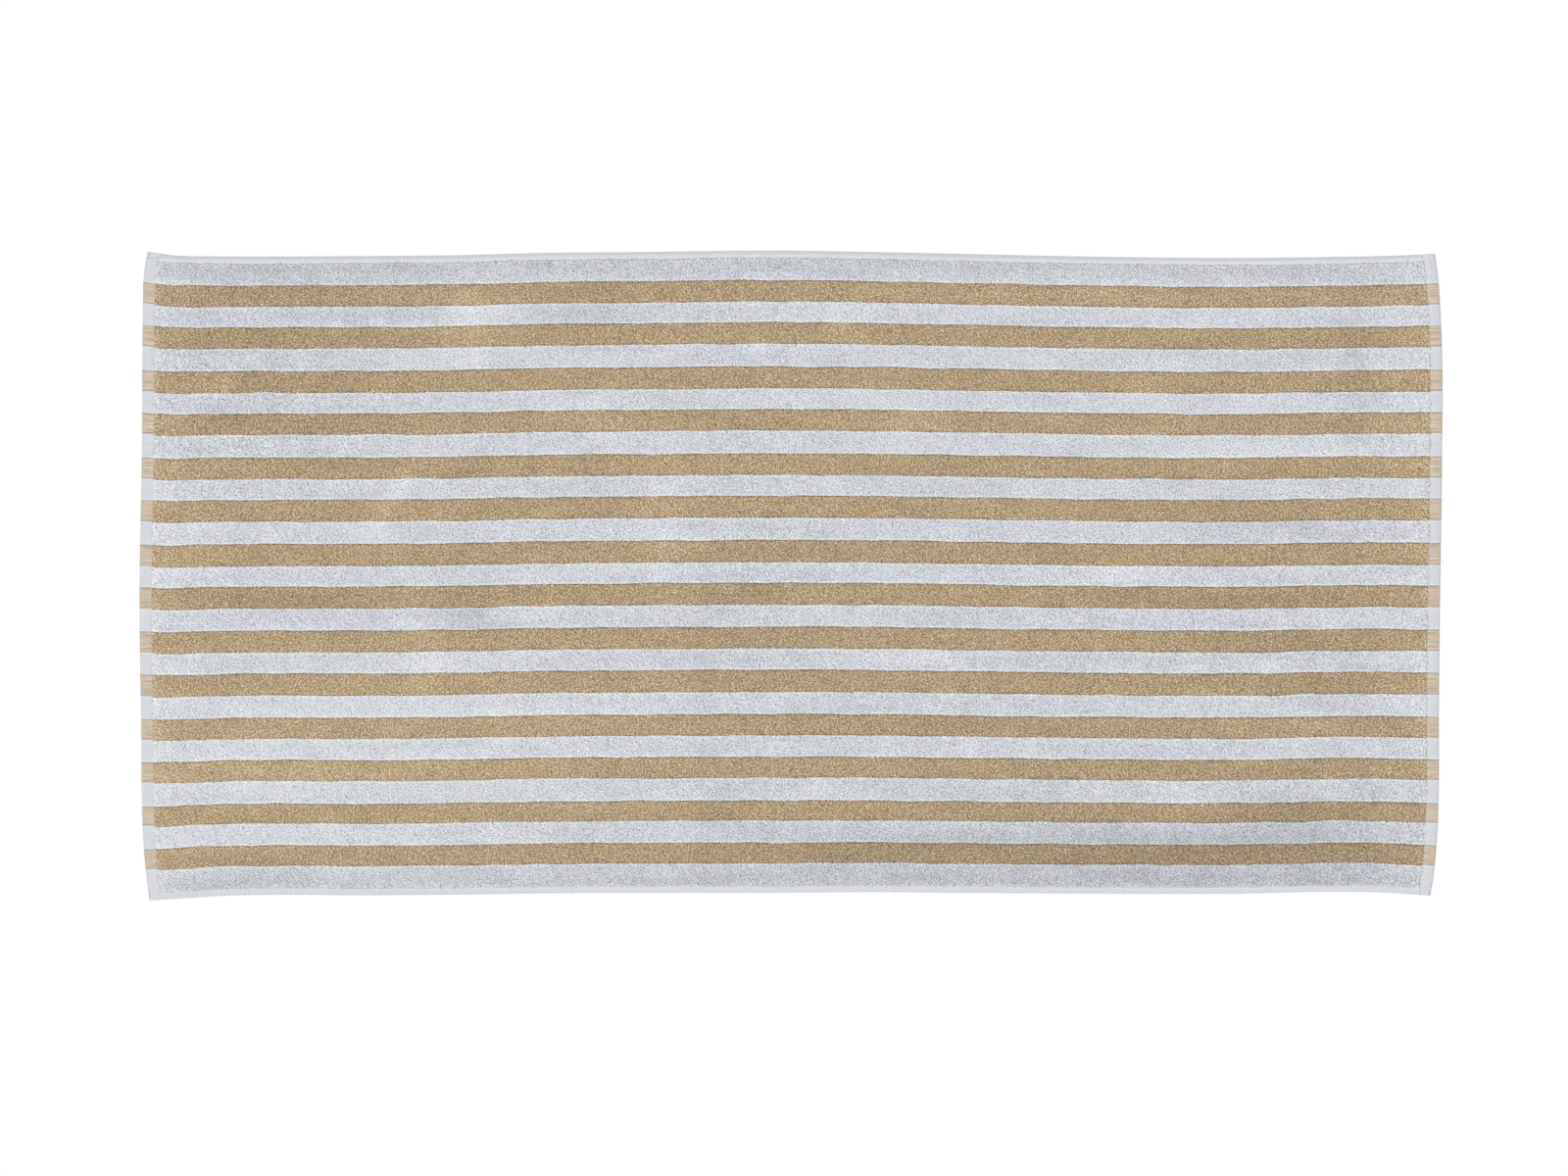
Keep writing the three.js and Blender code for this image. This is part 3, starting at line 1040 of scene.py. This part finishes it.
def add_hem(name, profile, stations, place, mirrored, materials, stripes=()):
    """One hem as a closed band, swept over stations. place(inward, station) gives along and across, and
    mirrored says that it turns the section over. stripes are low and high edges of tan stripes."""
    inward, station = np.meshgrid(profile[:, 0], stations)
    height = np.broadcast_to(profile[:, 1], inward.shape)
    points = laid(*place(inward, station), height).reshape(-1, 3)
    rows, columns = inward.shape
    faces = grid_faces(rows, columns, around=True)
    caps = np.array([[c, c + 1, columns - 2 - c, columns - 1 - c] for c in range(columns // 2 - 1)])
    faces = np.concatenate([faces, caps, caps[:, ::-1] + (rows - 1) * columns])
    if mirrored:
        faces = faces[:, ::-1]
    middles = (stations[:-1] + stations[1:]) / 2
    is_tan = np.zeros(len(middles))
    from_meeting = np.full(len(stations), AWAY_FROM_MEETINGS)
    for low, high in stripes:
        is_tan[(middles > low) & (middles < high)] = 1
        for edge in (low, high):
            from_meeting = np.minimum(from_meeting, np.abs(stations - edge))
    face_slots = np.concatenate([np.repeat(is_tan, columns), np.zeros(2 * len(caps))])
    weave = np.stack([station.ravel(), inward.ravel()], -1)
    meeting = np.stack([np.repeat(from_meeting, columns), inward.ravel()], -1)
    turn = np.linspace(0, 1, columns, endpoint=False)
    plain = np.stack(np.broadcast_arrays((station - stations[0]) / np.ptp(stations), turn[None]), -1)
    maps = {"Weave": weave, "Meeting": meeting, "OFBake": plain.reshape(-1, 2)}
    hem = add_piece(name, points, faces, materials, face_slots, maps)
    hem.data.set_sharp_from_angle(angle=SHARP)
    return hem


def hem_stripes(name):
    """The tan stripes where they cross an end hem."""
    near, far = (HEM_STRIPES[name][side] * MM for side in ("near", "far"))
    return [(low + near, high - far) for colour, low, high in BANDS if colour == "tan"]


def add_end_hem(name, side):
    """The hem at the left or right end, with a station wherever a stripe begins."""
    stripes = hem_stripes(name)
    even = np.arange(-HALF_WIDTH, HALF_WIDTH, HEM_STEP)
    stations = np.unique(np.round(np.concatenate([even, np.ravel(stripes), [HALF_WIDTH]]), 6))
    profile = hem_profile(END_HEM, END_SEAM)

    def place(inward, station):
        return side * (HALF_LENGTH - inward), station

    return add_hem(name, profile, stations, place, side > 0, [HEM["white end"], HEM["tan end"]], stripes)


def add_side_hem(name, side):
    """The hem along the near or far side, from one end hem to the other."""
    reach = HALF_LENGTH - END_HEM + CORNER_LAP
    stations = np.linspace(-reach, reach, round(2 * reach / HEM_STEP))
    profile = hem_profile(SIDE_HEM, SIDE_SEAM)

    def place(inward, station):
        return station, side * (HALF_WIDTH - inward)

    return add_hem(name, profile, stations, place, side < 0, [HEM["side"]])


def add_hems():
    """The four hems."""
    return [
        add_end_hem("hem_left", side=-1),
        add_end_hem("hem_right", side=1),
        add_side_hem("hem_near", side=-1),
        add_side_hem("hem_far", side=1),
    ]


# ---------------- stitches

STITCH_STEP = 2.8 * MM
STITCH_LENGTH = 2.2 * MM
STITCH_WIDTH = 0.65 * MM
STITCH_HEIGHT = 2.05 * MM
SEAM_GAP = 2.6 * MM
TACK_WIDTH = 0.7 * MM

# A stitch's section has this many sides and is a little flat, and it is full up to the bends.
STITCH_SIDES = 6
STITCH_FLATNESS = 0.8
STITCH_BEND = 0.3

# How uneven a seam is: how far each stitch is off its place along the seam and aside, in mm, the least
# and most share of its length, and the mean and spread of its turn in radians.
OFF_ALONG_SEAM = 0.3
OFF_SEAM = 0.15
STITCH_SHARES = (0.85, 1.1)
STITCH_TURN = (0.12, 0.08)

# The tacks that hold the corners, in mm from the towel's end and side. end and side say which corner, and
# turn is the tack's way, in degrees from along.
TACKS = table(
    "end side from_end from_side length turn",
    (-1, 1, 2.8, 2.0, 4.4, 0),
    (-1, 1, 2.8, 5.4, 4.4, 4),
    (-1, 1, 11.2, 4.2, 2.4, 80),
    (-1, -1, 1.6, 5.0, 2.6, 10),
    (-1, -1, 9.5, 1.6, 2.4, 60),
    (1, -1, 11.2, 1.2, 2.0, 90),
    (1, -1, 11.0, 3.8, 2.0, 75),
    (1, -1, 1.4, 2.4, 3.0, 90),
    (1, 1, 1.6, 2.4, 2.8, 75),
)


def add_stitches(name, along, across, turn, length, width, material):
    """Stitches of thread as small closed lumps, each round its place and turned from along."""
    corner = np.linspace(0, 2 * math.pi, STITCH_SIDES, endpoint=False)
    ring = np.stack([np.zeros(STITCH_SIDES), np.cos(corner) / 2, np.sin(corner) / 2])
    tip = np.array([[0.5], [0], [0]])
    bend = np.array([[STITCH_BEND], [0], [0]])
    shape = np.concatenate([-tip, ring - bend, ring + bend, tip], 1)
    u = shape[0] * length[:, None]
    v = shape[1] * width
    height = STITCH_HEIGHT + shape[2] * width * STITCH_FLATNESS
    cos, sin = np.cos(turn)[:, None], np.sin(turn)[:, None]
    points = laid(along[:, None] + u * cos - v * sin, across[:, None] + u * sin + v * cos, height)
    faces = []
    for i in range(STITCH_SIDES):
        after = (i + 1) % STITCH_SIDES
        first, second = 1 + i, 1 + after
        third, fourth = first + STITCH_SIDES, second + STITCH_SIDES
        last = 2 * STITCH_SIDES + 1
        faces += [(0, second, first), (first, second, fourth)]
        faces += [(first, fourth, third), (third, fourth, last)]
    first_points = np.arange(len(along))[:, None, None] * shape.shape[1]
    all_faces = (np.array(faces) + first_points).reshape(-1, 3)
    piece = add_piece(name, points.reshape(-1, 3), all_faces, [material])
    return piece


def add_seam(name, on_end, side, seed):
    """A row of stitches along one hem."""
    rng = np.random.default_rng(seed)
    seam = END_SEAM if on_end else SIDE_SEAM
    reach = (HALF_WIDTH - SIDE_SEAM if on_end else HALF_LENGTH - END_SEAM) - SEAM_GAP
    count = round(2 * reach / STITCH_STEP)
    run = np.linspace(-reach, reach, count) + rng.uniform(-OFF_ALONG_SEAM, OFF_ALONG_SEAM, count) * MM
    off = rng.uniform(-OFF_SEAM, OFF_SEAM, count) * MM
    length = STITCH_LENGTH * rng.uniform(*STITCH_SHARES, count)
    turn = rng.normal(*STITCH_TURN, count)
    if on_end:
        along, across = side * (HALF_LENGTH - seam) + off, run
        turn += math.pi / 2
    else:
        along, across = run, side * (HALF_WIDTH - seam) + off
    return add_stitches(name, along, across, turn, length, STITCH_WIDTH, THREAD)


def add_tacks():
    """The short stitches at the corners."""
    column = {name: np.array([row[name] for row in TACKS]) for name in TACKS[0]}
    along = column["end"] * (HALF_LENGTH - column["from_end"] * MM)
    across = column["side"] * (HALF_WIDTH - column["from_side"] * MM)
    turn = np.radians(column["turn"])
    return add_stitches("corner_tacks", along, across, turn, column["length"] * MM, TACK_WIDTH, TACK_THREAD_AND_SHADE)


def add_all_stitches():
    """The seams of the four hems, and the tacks."""
    return [
        add_seam("seam_left", on_end=True, side=-1, seed=51),
        add_seam("seam_right", on_end=True, side=1, seed=52),
        add_seam("seam_near", on_end=False, side=-1, seed=53),
        add_seam("seam_far", on_end=False, side=1, seed=54),
        add_tacks(),
    ]


# ---------------- the room: floor, light and camera

# How light the floor is, and how much the camera's rays add to it.
FLOOR_COLOUR = 0.96
FLOOR_LIFT = 0.05
FLOOR_ROUGHNESS = 0.9
FLOOR_HALF = 6


def background_rays(tree):
    """1 for the rays that show the background: the camera's, and those of reflections and glass."""
    path = tree.nodes.new("ShaderNodeLightPath")
    seen = path.outputs["Is Camera Ray"]
    for kind in ("Is Glossy Ray", "Is Transmission Ray"):
        either = tree.nodes.new("ShaderNodeMath")
        either.operation = "MAXIMUM"
        tree.links.new(seen, either.inputs[0])
        tree.links.new(path.outputs[kind], either.inputs[1])
        seen = either.outputs[0]
    return seen


def add_floor():
    """A white floor, just light enough to look pure white, with the towel's own shadow."""
    nodes = Nodes("white floor", FLOOR_ROUGHNESS)
    nodes.shader.inputs["Base Color"].default_value = (FLOOR_COLOUR, FLOOR_COLOUR, FLOOR_COLOUR, 1)
    nodes.shader.inputs["Specular IOR Level"].default_value = 0
    nodes.shader.inputs["Emission Color"].default_value = (1, 1, 1, 1)
    lift = nodes.math("MULTIPLY", background_rays(nodes.tree), FLOOR_LIFT)
    nodes.join(lift, nodes.shader.inputs["Emission Strength"])
    corners = [(x * FLOOR_HALF, y * FLOOR_HALF, 0) for x, y in ((-1, -1), (1, -1), (1, 1), (-1, 1))]
    mesh = bpy.data.meshes.new("floor")
    mesh.from_pydata(corners, [], [(0, 1, 2, 3)])
    mesh.materials.append(nodes.material)
    floor = new_object("floor", mesh)


# A level plane gets this much of its light from the key and the rest from the room: together 1, at which
# a colour looks as it is written. The key's angles are how wide it is, how high it stands and its turn.
KEY_SHARE = 0.42
KEY_WIDTH = math.radians(12)
KEY_RISE = math.radians(58)
KEY_TURN = math.radians(218)


def add_room_light():
    """Even light from all around. The camera and reflections see it as pure white."""
    world = bpy.data.worlds.new("studio")
    world.use_nodes = True
    tree = world.node_tree
    lit = tree.nodes["Background"]
    lit.inputs["Strength"].default_value = 1 - KEY_SHARE
    seen = tree.nodes.new("ShaderNodeBackground")
    seen.inputs["Strength"].default_value = 1.0
    for node in (lit, seen):
        node.inputs["Color"].default_value = (1, 1, 1, 1)
    mix = tree.nodes.new("ShaderNodeMixShader")
    tree.links.new(background_rays(tree), mix.inputs[0])
    tree.links.new(lit.outputs[0], mix.inputs[1])
    tree.links.new(seen.outputs[0], mix.inputs[2])
    tree.links.new(mix.outputs[0], tree.nodes["World Output"].inputs["Surface"])
    bpy.context.scene.world = world


def add_key_light():
    """A wide soft light from the near left."""
    lamp = bpy.data.lights.new("key", "SUN")
    lamp.angle = KEY_WIDTH
    lamp.energy = math.pi * KEY_SHARE / math.sin(KEY_RISE)
    key = new_object("key", lamp)
    key.rotation_euler = (0, math.pi / 2 - KEY_RISE, KEY_TURN)


# The lens and the sensor in mm, how wide the picture is on the floor, and where its middle lies there.
LENS = 85
SENSOR = 36
PICTURE_WIDTH = 1689.28 * MM
PICTURE_MIDDLE = (-7.4 * MM, -13.2 * MM)
CLIP_END = 100


def add_camera():
    """Straight above, with a long lens."""
    camera = bpy.data.cameras.new("camera")
    camera.lens = LENS
    camera.sensor_width = SENSOR
    camera.clip_end = CLIP_END
    spot = new_object("camera", camera)
    spot.location = (*PICTURE_MIDDLE, LENS / SENSOR * PICTURE_WIDTH)
    bpy.context.scene.camera = spot


add_camera()
add_room_light()
add_key_light()
add_floor()
ground = add_ground()
pile = add_all_pile()
hems = add_hems()
stitches = add_all_stitches()

bpy.context.scene.view_settings.view_transform = "Standard"
